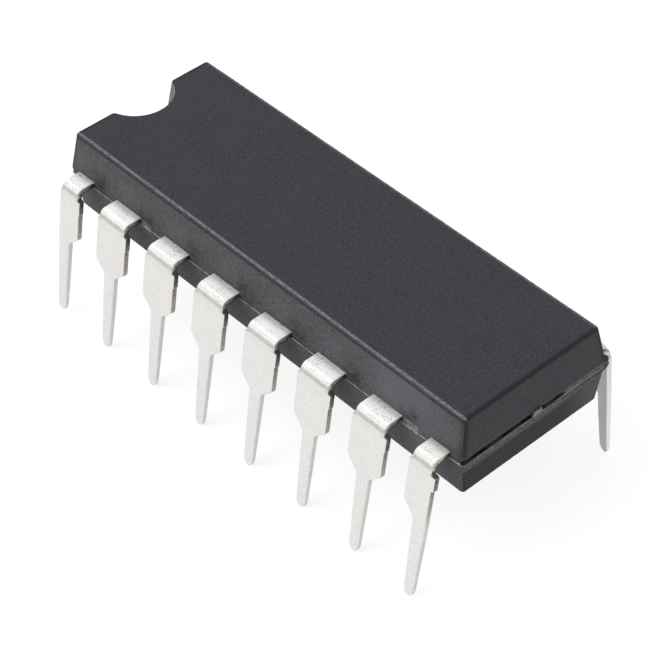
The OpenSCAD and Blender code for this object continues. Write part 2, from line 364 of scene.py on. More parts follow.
def parting_line(n, colour, sides, ends):
    """A painted highlight as a thin pale rim on the lower half, rough ends with painted shade in their
    groove, and broken flash beside the leads.
    """
    # Painted highlight: a thin pale line along the top edge of the lower half, broken in places
    broken = n.larger(n.spots(0.36, 0.52, scale=4.0, detail=4.0, rough=0.7), n.step(n.x, 8.7, 9.2))
    rim = n.times(band(n, "rim", n.z), broken, n.minus(0.9, n.times(ends, 0.5)))
    colour = n.mix(rim, colour, COMPOUND["rim"])

    # Under it the ends are rough, with chips, pale flecks and pits
    rough_end = n.times(ends, band(n, "rough end", n.z))
    colour = n.paint(colour, rough_end, 0.25, COMPOUND["rough end"])
    chips = n.spots(0.51, 0.56, scale=13.0, detail=4.0, rough=0.8, stretch=(1.0, 1.0, 1.4))
    colour = n.paint(colour, n.times(rough_end, chips), 0.85, COMPOUND["chip"])
    flecks = n.spots(0.56, 0.62, scale=17.0, detail=3.0, rough=0.6)
    colour = n.paint(colour, n.times(ends, band(n, "fleck", n.z), flecks), 0.6, COMPOUND["fleck"])
    pits = n.spots(0.44, 0.36, scale=8.0, detail=3.0, rough=0.7, stretch=(1.0, 1.0, 1.6))
    colour = n.paint(colour, n.times(rough_end, pits), 0.7, COMPOUND["pit"])

    # Painted shade: the groove of the ends and the ledge under it are black, except where the groove is
    # filled
    filled = n.step(n.times(n.x, n.y), *FILLED)
    ledge_x = BODY_L / 2 - GROOVE_DEPTH
    ledge = n.times(n.step(n.nz, 0.3, 0.6), n.step(n.size(n.x), ledge_x - 0.04, ledge_x - 0.01))
    ragged = n.plus(n.z, n.unrest(0.10, scale=6.0, detail=4.0, rough=0.7))
    shade = n.times(n.larger(ends, ledge), n.minus(1.0, filled), band(n, "groove", ragged))
    colour = n.paint(colour, shade, 0.9, COMPOUND["groove"])

    # The lump of flash is dark, and the filling beside it is pale above a painted shadow line
    lump = n.times(n.step(n.x, LUMP_X, LUMP_X + 0.15), n.step(n.y, LUMP_Y + 0.08, LUMP_Y + 0.18))
    colour = n.paint(colour, n.times(lump, band(n, "lump", n.z)), 0.9, COMPOUND["lump"])
    spill = n.times(filled, ends)
    spill_chips = n.spots(0.38, 0.56, scale=7.0, detail=5.0, rough=0.8, stretch=(1.0, 1.0, 2.2))
    colour = n.paint(colour, n.times(band(n, "spill", n.z), spill_chips, spill), 0.55, COMPOUND["spill"])
    # Painted shadow: a broken dark line under the filling
    shadow_line = band(n, "shadow_line", n.plus(n.z, n.unrest(0.16, scale=3.0, detail=3.0, rough=0.6)))
    shadow_line = n.times(shadow_line, n.spots(0.38, 0.46, scale=5.0, detail=2.0, rough=0.5))
    colour = n.paint(colour, n.times(shadow_line, spill), 0.85, COMPOUND["shadow_line"])

    # Flash beside leads 2 and 7
    streaks = n.spots(0.44, 0.54, scale=9.0, detail=5.0, rough=0.8, stretch=(1.0, 1.0, 2.6))
    beside = n.plus(n.span(n.x, *FLASH_7_X), n.times(n.span(n.x, *FLASH_2_X), 0.8))
    return n.paint(colour, n.times(sides, beside, band(n, "flash", n.z), streaks), 0.9, COMPOUND["flash"])


def face_shade_and_reflections(n, colour, sides, ends):
    """Painted shade on the lower ends and painted reflections on the side faces: the colour, and where the
    dark reflections are.
    """
    # Painted shade: the lower half of the end is painted dark, and lighter near lead 9
    lower_end = n.times(ends, n.step(n.z, PART_BOTTOM - 0.32, PART_BOTTOM - 0.56))
    colour = n.paint(colour, n.times(lower_end, n.step(n.y, 1.6, 3.0)), 0.7, COMPOUND["lower end light"])
    colour = n.paint(colour, n.times(lower_end, n.step(n.y, 2.4, 1.2)), 0.95, COMPOUND["lower end shade"])

    # Painted dark reflections on the side faces, just above each gap between two leads
    between = n.step(n.row_wave(DARK_REFLECTION_OFFSET), 0.15, 0.95)
    near_gap = n.times(between, n.span(n.z, PART_TOP, PART_TOP + 0.22, 0.5))
    dark_reflection = n.times(near_gap, sides, n.spots(0.35, 0.6, scale=1.6, detail=3.0, rough=0.6))
    colour = n.paint(colour, dark_reflection, 0.7, COMPOUND["dark_reflection"])

    # Painted reflections: lighter clouds on the side faces above each lead
    over_lead = n.step(n.row_wave(LIGHT_REFLECTION_OFFSET), -0.1, 0.95)
    light_reflection = n.times(over_lead, sides, n.span(n.z, PART_TOP + 0.3, PART_TOP + 0.7, 0.35))
    return n.paint(colour, light_reflection, 0.2, COMPOUND["light_reflection"]), dark_reflection


def mould_compound():
    """Matte dark epoxy: fine grain, pale worn edges with painted highlights, dark end edges of painted
    shade, painted sheen and reflections, rough parting line.
    """
    n = Surface("mould_compound")
    sides = n.step(n.size(n.ny), *FACING)
    ends = n.step(n.size(n.nx), *FACING)
    grain = n.noise(scale=12.0, detail=4.0, rough=0.7)
    specks = n.noise(scale=30.0, detail=2.0, rough=0.5)
    tone = n.step(n.plus(n.times(grain, 0.55), n.times(specks, 0.45)), 0.40, 0.60)
    colour = n.mix(tone, COMPOUND["dark grain"], COMPOUND["light grain"])
    cloud = n.spots(0.35, 0.7, scale=0.9, detail=3.0, rough=0.55)
    colour = n.paint(colour, cloud, 0.3, COMPOUND["cloud"])

    # Painted sheen: the side faces are painted lighter near the end away from the notch
    light = n.times(sides, n.span(n.x, *SIDE_SHEEN_X))
    colour = n.paint(colour, light, 0.75, COMPOUND["side_sheen"])

    colour, under = edge_wear_and_shade(n, colour)
    colour = parting_line(n, colour, sides, ends)
    colour, dark_reflection = face_shade_and_reflections(n, colour, sides, ends)

    # Painted highlight on the wall of the notch, which is painted lighter
    from_axis = n.length(n.plus(n.x, BODY_L / 2 + NOTCH_OUT), n.y)
    wall = n.times(n.step(from_axis, NOTCH_R + 0.02, NOTCH_R - 0.01), n.step(n.nz, 0.6, 0.4),
                   n.step(n.y, 0.5, 0.9), n.step(n.z, PART_TOP + 0.1, PART_TOP + 0.2))
    colour = n.paint(colour, wall, 0.5, COMPOUND["wear_and_highlight"])

    # The side faces shine more, least where they are dark
    glint = n.minus(n.plus(0.5, n.minus(tone, n.times(under, 0.7))), n.times(dark_reflection, 0.5))
    polish = n.plus(0.18, n.times(sides, 0.34, n.larger(glint, 0.0)))
    normal = n.bump(n.plus(grain, n.times(specks, 0.7)), distance=0.006, strength=0.8)
    return n.principled(colour, 0.62, normal, **{"Specular IOR Level": polish})


# Tinned leads

TIN = {
    "dark leg": (0.675, 0.665, 0.65),
    "light leg": (0.80, 0.793, 0.778),
    "leg cloud": (0.765, 0.757, 0.738),
    "inner face shade": (0.30, 0.29, 0.27),
    "bend": (0.69, 0.686, 0.672),
    "top of bend, white and highlit": (0.96, 0.955, 0.945),
    "scratch": (0.30, 0.29, 0.26),
    "root": (0.24, 0.23, 0.205),
    "mottle": (0.42, 0.41, 0.38),
    "crease": (0.33, 0.32, 0.29),
    "ledge": (0.10, 0.08, 0.06),
    "low edge": (0.56, 0.55, 0.52),
    "middle edge": (0.27, 0.25, 0.21),
    "high edge": (0.050, 0.038, 0.028),
    "bright low edge": (0.62, 0.61, 0.59),
    "bright middle edge": (0.36, 0.34, 0.30),
    "bright high edge": (0.17, 0.145, 0.11),
    "far edge": (0.82, 0.81, 0.79),
    "burnished": (0.66, 0.64, 0.60),
}

# Lead 9 stands beyond these, and its bend lies lower than the others by this much
LEAD_9_X, LEAD_9_Y, LEAD_9_DROP = 8.2, 3.0, 0.45


def cut_edges(n, out):
    """Cut edges: dark and brownish near the bend, with a burnished middle, greyer further down."""
    high = n.step(n.z, SEAT_H + 0.9, PART_BOTTOM - 0.25)
    middle = n.step(n.z, SEAT_H - 0.3, SEAT_H + 0.9)
    bare = n.mix(high, n.mix(middle, TIN["low edge"], TIN["middle edge"]), TIN["high edge"])
    bright = n.mix(middle, TIN["bright low edge"], TIN["bright middle edge"])
    bright = n.mix(high, bright, TIN["bright high edge"])
    shear = n.noise(scale=14.0, detail=3.0, rough=0.6, stretch=(1.0, 0.6, 0.6))
    bare = n.mix(n.step(shear, 0.40, 0.62), bare, bright)

    # The far row's are pale on the leg
    pale = n.times(n.step(n.y, 0.5, 1.0), n.step(n.z, PART_BOTTOM - 0.1, PART_BOTTOM - 0.35))
    bare = n.paint(bare, pale, 0.75, TIN["far edge"])

    # The burnished band follows the outer face over the flat part and the bend
    from_y, from_z = n.minus(out, BEND_Y), n.minus(n.z, BEND_Z)
    depth = n.blend(n.step(from_y, -0.02, 0.02), n.minus(PART_TOP, n.z),
                    n.minus(OUTER_R, n.length(from_y, from_z)))
    burnished = n.times(n.span(depth, 0.03, 0.13, 0.03), n.step(from_z, -0.08, 0.0),
                        n.step(from_y, -0.42, -0.10))
    shine = n.mix(n.step(shear, 0.38, 0.60), TIN["bright middle edge"], TIN["burnished"])
    return n.paint(bare, burnished, 0.95, shine)


def tinned_lead():
    """Matte tin: white scratched bend with a painted highlight on top, painted shade lower down and by the
    body, greyer crease, pale speckled legs, brownish cut edges.
    """
    n = Surface("tinned_lead")
    out = n.size(n.y)
    is_lead_9 = n.times(n.step(n.x, LEAD_9_X, LEAD_9_X + 0.1), n.step(n.y, LEAD_9_Y, LEAD_9_Y + 0.1))
    level = n.plus(n.z, n.times(is_lead_9, LEAD_9_DROP))
    soft = n.noise(scale=2.2, detail=3.0, rough=0.55)
    fine = n.noise(scale=22.0, detail=4.0, rough=0.7)
    formed = n.step(level, CREASE_Z - 0.55, CREASE_Z)
    legs = n.mix(n.step(fine, 0.40, 0.60), TIN["dark leg"], TIN["light leg"])
    legs = n.paint(legs, n.step(soft, 0.35, 0.7), 0.4, TIN["leg cloud"])

    # Painted shade: faces turned to the middle are painted darker, as if mirroring the shadow under the
    # body
    legs = n.paint(legs, n.step(n.times(n.y, n.ny), -1.0, -2.5), 0.8, TIN["inner face shade"])

    # Where the sheet was formed it is white and rough, with fine dark scratches along the bend; the faces
    # turned up are painted whitest, partly a painted highlight
    top = n.times(n.step(n.nz, 0.50, 0.72), n.step(level, CREASE_Z - 0.02, CREASE_Z + 0.02))
    colour = n.mix(top, legs, n.mix(n.step(n.nz, 0.80, 0.99), TIN["bend"], TIN["top of bend, white and highlit"]))
    drag = n.noise(scale=34.0, detail=4.0, rough=0.8, stretch=(0.30, 1.0, 1.0))
    patchy = n.spots(0.36, 0.60, scale=2.6, detail=3.0, rough=0.6)
    near_body = n.step(out, BODY_W / 2 + 0.25, BODY_W / 2 + 0.02)
    often = n.plus(0.10, n.times(n.larger(patchy, near_body), 0.55))
    marks = n.times(n.step(drag, 0.52, 0.58), often)
    colour = n.paint(colour, marks, top, TIN["scratch"])
    # Painted shade on the flat part next to the body, stronger where it is scratched
    root = n.step(out, BODY_W / 2 + 0.36, BODY_W / 2 + 0.03)
    root = n.times(root, n.plus(0.6, n.times(marks, 0.6)))
    colour = n.paint(colour, root, top, TIN["root"])
    # Painted shade: the lower part of the bend, turned away from the top, is painted mottled grey
    low = n.times(n.span(n.nz, 0.28, 0.56, 0.10), formed)
    mottle = n.spots(0.36, 0.62, scale=16.0, detail=4.0, rough=0.75, stretch=(0.6, 1.0, 1.0))
    colour = n.paint(colour, low, n.plus(0.35, n.times(mottle, 0.5)), TIN["mottle"])

    # A grey line where the bend meets the leg, and mottling under it
    crease = n.times(n.span(level, CREASE_Z - 0.035, CREASE_Z + 0.025, 0.035),
                     n.step(out, BEND_Y + 0.2, BEND_Y + 0.3))
    colour = n.paint(colour, crease, n.plus(0.2, n.times(mottle, 0.35)), TIN["crease"])
    under = n.times(formed, n.step(n.nz, 0.3, 0.2), n.step(fine, 0.5, 0.62))
    colour = n.paint(colour, under, 0.35, TIN["mottle"])

    # The ledges on top of the dam bar stubs are dark
    ledge = n.times(n.step(n.nz, 0.5, 0.8), n.step(level, CREASE_Z - 0.03, CREASE_Z - 0.08))
    colour = n.paint(colour, ledge, 0.85, TIN["ledge"])

    colour = n.mix(n.step(n.size(n.nx), 0.80, 0.97), colour, cut_edges(n, out))
    rough = n.plus(n.plus(0.40, n.times(top, 0.2)), n.times(soft, 0.08))
    height = n.plus(n.times(fine, 0.6), n.times(drag, top, 0.8))
    normal = n.bump(height, distance=0.002, strength=0.6)
    return n.principled(colour, rough, normal, Metallic=n.minus(1.0, n.times(top, 0.85)))


# Hidden pieces

def copper_frame():
    """Bare copper alloy, tinned over at the cut ends that reach the faces of the body."""
    n = Surface("copper_frame")
    roll = n.noise(scale=20.0, detail=3.0, rough=0.5, stretch=(0.1, 1.0, 1.0))
    colour = n.mix(roll, (0.50, 0.24, 0.13), (0.60, 0.31, 0.18))
    torn = n.spots(0.4, 0.6, scale=14.0, detail=4.0, rough=0.7)
    ends = n.step(n.size(n.x), BODY_L / 2 - 0.4, BODY_L / 2 - 0.3)
    colour = n.mix(ends, colour, n.mix(torn, (0.05, 0.05, 0.055), (0.24, 0.24, 0.24)))
    normal = n.bump(torn, distance=0.01, strength=0.6)
    return n.principled(colour, 0.45, normal, Metallic=0.9)


def plain(name, dark, light, scale, metallic, roughness):
    """A simple grained finish for a sealed inner piece."""
    n = Surface(name)
    grain = n.noise(scale, detail=3.0, rough=0.6)
    normal = n.bump(grain, distance=0.002, strength=0.5)
    return n.principled(n.mix(grain, dark, light), roughness, normal, Metallic=metallic)


# Mesh helpers

# Edges that turn by more than these, in degrees, stay sharp
LEAD_SHARP, BODY_SHARP, FLOOR_SHARP = 40, 50, 30


def mesh_object(name, verts, faces, material, sharp_angle):
    mesh = bpy.data.meshes.new(name)
    mesh.from_pydata([tuple(c * MM for c in v) for v in verts], [], faces)
    mesh.validate()
    obj = bpy.data.objects.new(name, mesh)
    bpy.context.scene.collection.objects.link(obj)
    mesh.materials.append(material)
    mesh.shade_smooth()
    mesh.set_sharp_from_angle(angle=math.radians(sharp_angle))
    return obj


def loft(rings):
    """Vertices and faces of a closed skin through rings of equal count, capped at both ends."""
    verts = [v for ring in rings for v in ring]
    count = len(rings[0])
    faces = []
    for level in range(len(rings) - 1):
        for k in range(count):
            a = level * count + k
            b = level * count + (k + 1) % count
            faces.append((a, b, b + count, a + count))
    last = (len(rings) - 1) * count
    faces.append(tuple(range(count))[::-1])
    faces.append(tuple(range(last, last + count)))
    return verts, faces


# Leads

# Steps along the flat part, the bend and the leg, round a corner of the outline, round an edge of
# the sheet, and across its faces
FLAT_STEPS, BEND_STEPS, LEG_STEPS = 11, 18, 60
OUTLINE_STEPS, EDGE_STEPS, LANES = 5, 4, 6

# The formed piece starts this far inside the body, and leaves this much out at the leg's ends
HIDDEN_L, END_GAP = 0.35, 0.004

# The worn stub of a dam bar, as a share of the full one: its slanted ends and its rounding
STUB_SHARE = 0.6
STUB_ROOT, STUB_SLANT, STUB_R = 0.03, 0.02, 0.02

# A neat side runs from the neck to the full width between these, and is rounded there. The outer
# side of an end lead can be neat as well
NEAT_START, NEAT_END, NEAT_R = 0.01, 0.13, 0.08
NEAT_LEAD = 9

# The sheet gets thinner over the last length of the leg and of the tip, and the tip is rounded
THIN_LEG, THIN_LEG_L = 0.05, 1.8
THIN_TIP, THIN_TIP_L = 0.06, 0.3
ROUND_TIP_L = 0.34

# Roundings of the cut edges at the outer face, what the leg adds to them from the seat down, and at
# the inner face. They take at most a part of the width and of the thickness
FRONT_R, LEG_FRONT_R, BACK_R = 0.045, 0.04, 0.03
SEAT_BELOW, SEAT_FADE = 0.2, 0.5
WIDTH_PARTS, THICK_SHARE = 2.2, 0.45

# Unevenness of the faces: its rate across and along, and its height
WAVES = (1.6, 0.9, 0.003)
GRAIN = (14, 9, 0.0006)
BACK_UNEVEN = 0.6

# The tips keep this distance to the floor
TIP_GAP = 0.002

# A corner whose sides have a smaller cosine than this is straight
STRAIGHT = -0.9999


def unit(v):
    length = math.hypot(*v)
    return (v[0] / length, v[1] / length)


def round_corner(p, q, s, r):
    """Points of the corner q between p and s, rounded with radius r."""
    a = unit((p[0] - q[0], p[1] - q[1]))
    b = unit((s[0] - q[0], s[1] - q[1]))
    cosine = a[0] * b[0] + a[1] * b[1]
    if r == 0 or cosine < STRAIGHT:
        return [q]
    half = math.acos(cosine) / 2
    bisector = unit((a[0] + b[0], a[1] + b[1]))
    middle = [q[i] + bisector[i] * r / math.sin(half) for i in (0, 1)]
    start = [q[i] + a[i] * r / math.tan(half) - middle[i] for i in (0, 1)]
    side = -1 if a[0] * b[1] - a[1] * b[0] > 0 else 1
    points = []
    for k in range(OUTLINE_STEPS + 1):
        t = side * (math.pi - 2 * half) * k / OUTLINE_STEPS
        points.append((middle[0] + start[0] * math.cos(t) - start[1] * math.sin(t),
                       middle[1] + start[0] * math.sin(t) + start[1] * math.cos(t)))
    return points


def leg_side(half, stub, stub_v, neat):
    """Half width against distance below the bend, from the bend to the tip.

    On a neat side the dam bar was cut flush, and the corner under the neck is rounded."""
    neck = half - NECK_INSET
    stub_end = stub_v + DAMBAR_H
    if neat:
        points = [(0, neck, 0), (NEAT_START, neck, NEAT_START), (NEAT_END, half, NEAT_R)]
    else:
        points = [(0, neck, 0), (stub_v - STUB_ROOT, neck, STUB_R),
                  (stub_v + STUB_SLANT, half + stub, STUB_R),
                  (stub_end - STUB_SLANT, half + stub, STUB_R),
                  (stub_end + STUB_SLANT, half, STUB_R)]
    wide = half > PIN_W / 2
    if wide:
        points.append((SLOPE_V, half, SLOPE_R))
    points += [(SEAT_V, PIN_W / 2, SLOPE_R if wide else 0), (LEG_L, TIP_W / 2, TIP_R), (LEG_L, 0, 0)]
    outline = [points[0][:2]]
    for p, q, s in zip(points, points[1:], points[2:]):
        outline += round_corner(p[:2], q[:2], s[:2], q[2])
    return outline


def width_at(outline, v):
    for (v0, h0), (v1, h1) in zip(outline, outline[1:]):
        if v0 <= v <= v1:
            return h0 if v1 == v0 else h0 + (h1 - h0) * (v - v0) / (v1 - v0)
    return outline[-1][1]


def sheet_section(left, right, thick, front, back):
    """Rounded rectangle across a lead: (across, depth) pairs, depth 0 at the outer face."""
    most = min((left + right) / WIDTH_PARTS, thick * THICK_SHARE)
    f, b = min(front, most), min(back, most)
    arcs = [(right - f, -f, f), (right - b, b - thick, b), (b - left, b - thick, b), (f - left, -f, f)]
    points = []
    for k, (cx, cy, r) in enumerate(arcs):
        for j in range(EDGE_STEPS + 1):
            t = math.radians(90 - 90 * k - 90 / EDGE_STEPS * j)
            points.append((cx + r * math.cos(t), cy + r * math.sin(t)))
        if k in (1, 3):
            start, end = points[-1][0], arcs[(k + 1) % 4][0]
            for j in range(1, LANES):
                points.append((start + (end - start) * j / LANES, points[-1][1]))
    return points


def lead_stations(inner, outer):
    """Places along the sheet: (y, z, angle turned, left half, right half)."""
    halves = outer[0][1], inner[0][1]
    stations = []
    start_y = BODY_W / 2 - HIDDEN_L
    for k in range(FLAT_STEPS + 1):
        y = start_y + (BEND_Y - start_y) * k / FLAT_STEPS
        stations.append((-y, PART_TOP, 0.0, *halves))
    for k in range(1, BEND_STEPS + 1):
        t = TURN * k / BEND_STEPS
        stations.append((-BEND_Y - OUTER_R * math.sin(t), BEND_Z + OUTER_R * math.cos(t), t, *halves))
    y0, z0 = stations[-1][:2]
    corners = {round(v, 4) for v, h in inner + outer}
    for v in sorted(corners | {LEG_L * k / LEG_STEPS for k in range(LEG_STEPS + 1)}):
        if END_GAP < v <= LEG_L - END_GAP:
            stations.append((y0 - v * math.cos(TURN), z0 - v * math.sin(TURN), TURN,
                             width_at(outer, v), width_at(inner, v)))
    return stations


def uneven(across, y, z, seed, rate_across, rate_along, height):
    spot = Vector((across * rate_across, y * rate_along, z * rate_along))
    return noise.noise(spot + seed) * height


def sheet_ring(y, z, t, left, right, x0, seed):
    """Points round the sheet at one station, thinner and rounded near the tip."""
    left_to_tip = z / math.sin(TURN) if t == TURN else LEG_L
    thick = LEAD_T - THIN_LEG * share(1 - left_to_tip / THIN_LEG_L)
    thick -= THIN_TIP * share(1 - left_to_tip / THIN_TIP_L) ** 2
    if left_to_tip < ROUND_TIP_L:
        round_tip = TIP_W / 2 * math.sqrt(1 - (1 - left_to_tip / ROUND_TIP_L) ** 2)
        left, right = min(left, round_tip), min(right, round_tip)
    on_leg = 1.0 - share((z - SEAT_H + SEAT_BELOW) / SEAT_FADE)
    ring = []
    for across, depth in sheet_section(left, right, thick, FRONT_R + LEG_FRONT_R * on_leg, BACK_R):
        depth -= (LEAD_T - thick) / 2
        bumps = uneven(across, y, z, seed, *WAVES) + uneven(across, y, z, seed, *GRAIN)
        lift = depth + bumps * (1 if depth > -LEAD_T / 2 else BACK_UNEVEN)
        ring.append((x0 + across, y - lift * math.sin(t), z + lift * math.cos(t)))
    return ring


def turn(out, up, angle):
    return out * math.cos(angle) - up * math.sin(angle), up * math.cos(angle) + out * math.sin(angle)


def out_of_line(number, verts, centre_x):
    """The vertices of a lead, moved by its own faults and those of its row."""
    near = number <= ROW_LEADS
    away = -1 if near else 1
    flat, leg, aside, shorter = LEAD_FAULTS.get(number, NO_FAULT)
    twist, further = TWISTED_LEADS.get(number, NO_TWIST)
    if near:
        leg += ROW_LEAN
    flat, leg, aside, twist = (math.radians(v) for v in (flat, leg, aside, twist))
    root_y, root_z = BODY_W / 2, PART_TOP - LEAD_T / 2
    bend_y, bend_z = BEND_Y - root_y, BEND_Z - root_z
    moved = []
    for x, y, z in verts:
        lift = shorter * max(0.0, 1 - z / SEAT_H)
        middle = CREASE_Y + max(0.0, CREASE_Z - z) / math.tan(TURN) - LEAD_T / 2 / math.sin(TURN)
        reach = share((abs(y) - root_y) / bend_y)
        part = 1.0 if z <= BEND_Z else share(math.atan2(abs(y) - BEND_Y, z - BEND_Z) / TURN)
        width, depth = turn(x - centre_x, abs(y) - middle, twist * reach)
        x = centre_x + width
        out = middle + depth + further * reach - lift * slope(SPLAY) - root_y
        up = z + lift - root_z
        if abs(y) > root_y:
            x += max(0.0, bend_z - up) * math.tan(aside)
            pivot_y = (bend_y + further) * reach
            at_bend = turn(pivot_y, bend_z, flat)
            from_bend = turn(out - pivot_y, up - bend_z, flat + (leg - flat) * part)
            out, up = (a + b for a, b in zip(at_bend, from_bend))
        moved.append((x - (ROW_SHIFT if near else 0), away * (out + root_y), max(up + root_z, TIP_GAP)))
    return moved


def lead_piece(number, material):
    """One lead outside the body, bent from sheet, with softened cut edges."""
    rng = random.Random(number)
    place_in_row = (number - 1) % ROW_LEADS + 1
    mirrored = place_in_row > ROW_LEADS // 2
    quarter = ROW_LEADS + 1 - place_in_row if mirrored else place_in_row
    turned = number > ROW_LEADS
    inner = leg_side(SHOULDER_W / 2, STUB_SHARE * DAMBAR_STUB, DAMBAR_DROP, mirrored != turned)
    if quarter == 1:
        neat = mirrored == turned or number == NEAT_LEAD
        outer = leg_side(PIN_W / 2, END_STUB, END_STUB_DROP, neat)
    else:
        outer = leg_side(SHOULDER_W / 2, STUB_SHARE * DAMBAR_STUB, DAMBAR_DROP, mirrored == turned)
    x0 = -(ROW_LEADS / 2 + 0.5 - quarter) * PITCH
    seed = Vector((rng.uniform(0, 50), rng.uniform(0, 50), rng.uniform(0, 50)))
    verts, faces = loft([sheet_ring(*station, x0, seed) for station in lead_stations(inner, outer)])
    centre_x = x0
    if mirrored:
        centre_x = -centre_x
        verts = [(-x, y, z) for x, y, z in verts]
        faces = [f[::-1] for f in faces]
    if turned:
        centre_x = -centre_x
        verts = [(-x, -y, z) for x, y, z in verts]
    verts = out_of_line(number, verts, centre_x)
    obj = mesh_object(f"lead_{number:02d}_formed", verts, faces, material, LEAD_SHARP)
    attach(obj, "root")
    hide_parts(f"lead_{number:02d}")
    return obj


# Body

# Steps round the outline, and up a drafted face and its edge
LONG_STEPS, END_STEPS, CORNER_STEPS, NOTCH_STEPS = 320, 34, 8, 40
FACE_STEPS, FACE_EDGE_STEPS = 12, 8

# A drafted face starts this far from the parting line
FACE_START = 0.03

# Roughness of the drafted faces, the upper and lower edges and the notch's floor
FACE_ROUGH, UPPER_EDGE_ROUGH, LOWER_EDGE_ROUGH, FLOOR_ROUGH = 0.0016, 0.008, 0.005, 0.001

# The notch's rim is rounded by this share of the top's edge
NOTCH_RIM = 0.4

# Levels of the parting line: height, inset along X, inset along Y, roughness. The lower ones are
# measured from its lower side and hold the groove of the ends, the upper ones from its upper side
LOWER_LINE = [
    (-0.028, -0.010, -0.006, 0.010),
    (-0.016, -0.004, -0.012, 0.012),
    (-0.006, GROOVE_DEPTH, -0.006, 0.010),
    (0.035, 0.115, 0.018, 0.012),
    (0.132, 0.12, 0.004, 0.014),
    (0.148, 0.008, 0.0, 0.012),
]
UPPER_LINE = [
    (-0.045, 0.002, -0.004, 0.020),
    (-0.025, 0.002, 0.002, 0.018),
    (-0.014, 0.002, 0.014, 0.008),
    (0.004, 0.002, 0.014, 0.008),
    (0.012, 0.002, 0.004, 0.005),
]

# A point this close to an end or side belongs to its face
FACE_BAND = 0.05

# Layers of roughness: rate and share, how much of it goes up, and how strong it is on the end with
# the flash and near the notch, from these shares of the half length on
ROUGH_LAYERS = ((7.0, 0.6), (19.0, 0.4))
RISE_SHARE = 0.3
FLASH_END, FLASH_END_FROM = 1.6, 0.99
NOTCH_END, NOTCH_END_FROM = 0.5, -0.9

# The groove, this close to the parting line, is filled nearly flush beyond a y: beside lead 9, and at
# both corners of the notch's end. The second number is the length over which it fills
GROOVE_NEAR, FILL_LEFT = 0.2, 0.01
FILL_Y, NOTCH_FILL_Y = (1.1, 0.3), (2.7, 0.2)

# The lump grows over this length and stands out so far along X and Y
LUMP_GROWTH, LUMP_OUT_X, LUMP_OUT_Y = 0.12, 0.03, 0.15

# Beyond this x the groove wanders up and down: rate, place in the noise and height
WANDER_X = 9.3
WANDERS = ((2.6, 3.7, 0.03), (9.0, 1.1, 0.02))


def body_outline(hx, hy, notch_r):
    """One level of the body, anticlockwise from the +X end: points with the notch cut, or plain.

    Both kinds have the same count, so that a skin can run from one to the other. A negative notch
    radius stands for the plain kind."""
    centre_x = -BODY_L / 2 - NOTCH_OUT
    reach = abs(notch_r)
    corner, notch_corner = CORNER_R, NOTCH_CORNER_R
    points = []

    def run(a, b, steps):
        for k in range(steps):
            points.append((a[0] + (b[0] - a[0]) * k / steps, a[1] + (b[1] - a[1]) * k / steps))

    def arc(cx, cy, r, start, end, steps):
        for k in range(steps):
            t = math.radians(start + (end - start) * k / steps)
            points.append((cx + r * math.cos(t), cy + r * math.sin(t)))

    run((hx, corner - hy), (hx, hy - corner), END_STEPS * 2)
    arc(hx - corner, hy - corner, corner, 0, 90, CORNER_STEPS)
    run((hx - corner, hy), (notch_corner - hx, hy), LONG_STEPS)
    arc(notch_corner - hx, hy - notch_corner, notch_corner, 90, 180, CORNER_STEPS)
    lip_x = NOTCH_LIP - hx
    lip_y = math.sqrt((reach + NOTCH_LIP) ** 2 - (lip_x - centre_x) ** 2)
    run((-hx, hy - notch_corner), (-hx, lip_y), END_STEPS)
    first = len(points)
    lean = math.degrees(math.atan2(lip_y, lip_x - centre_x))
    arc(lip_x, lip_y, NOTCH_LIP, 180, 180 + lean, CORNER_STEPS)
    arc(centre_x, 0, reach, lean, -lean, NOTCH_STEPS)
    arc(lip_x, -lip_y, NOTCH_LIP, 180 - lean, 180, CORNER_STEPS)
    if notch_r < 0:
        points[first:] = [(-hx, y) for x, y in points[first:]]
    run((-hx, -lip_y), (-hx, notch_corner - hy), END_STEPS)
    arc(notch_corner - hx, notch_corner - hy, notch_corner, 180, 270, CORNER_STEPS)
    run((notch_corner - hx, -hy), (hx - corner, -hy), LONG_STEPS)
    arc(hx - corner, corner - hy, corner, 270, 360, CORNER_STEPS)
    return points


def half_levels(start_z, up, height, draft, end_draft, edge_rough):
    """Levels of one half, away from the parting line: (z, inset along X, along Y, roughness)."""
    rows = []
    for k in range(FACE_STEPS + 1):
        rows.append((FACE_START + (height - EDGE_R - FACE_START) * k / FACE_STEPS, 0.0, FACE_ROUGH))
    for k in range(1, FACE_EDGE_STEPS + 1):
        t = math.radians(90 * k / FACE_EDGE_STEPS)
        rows.append((height - EDGE_R * (1 - math.sin(t)), EDGE_R * (1 - math.cos(t)), edge_rough))
    return [(start_z + up * h, h * slope(end_draft) + inset, h * slope(draft) + inset, rough)
            for h, inset, rough in rows]


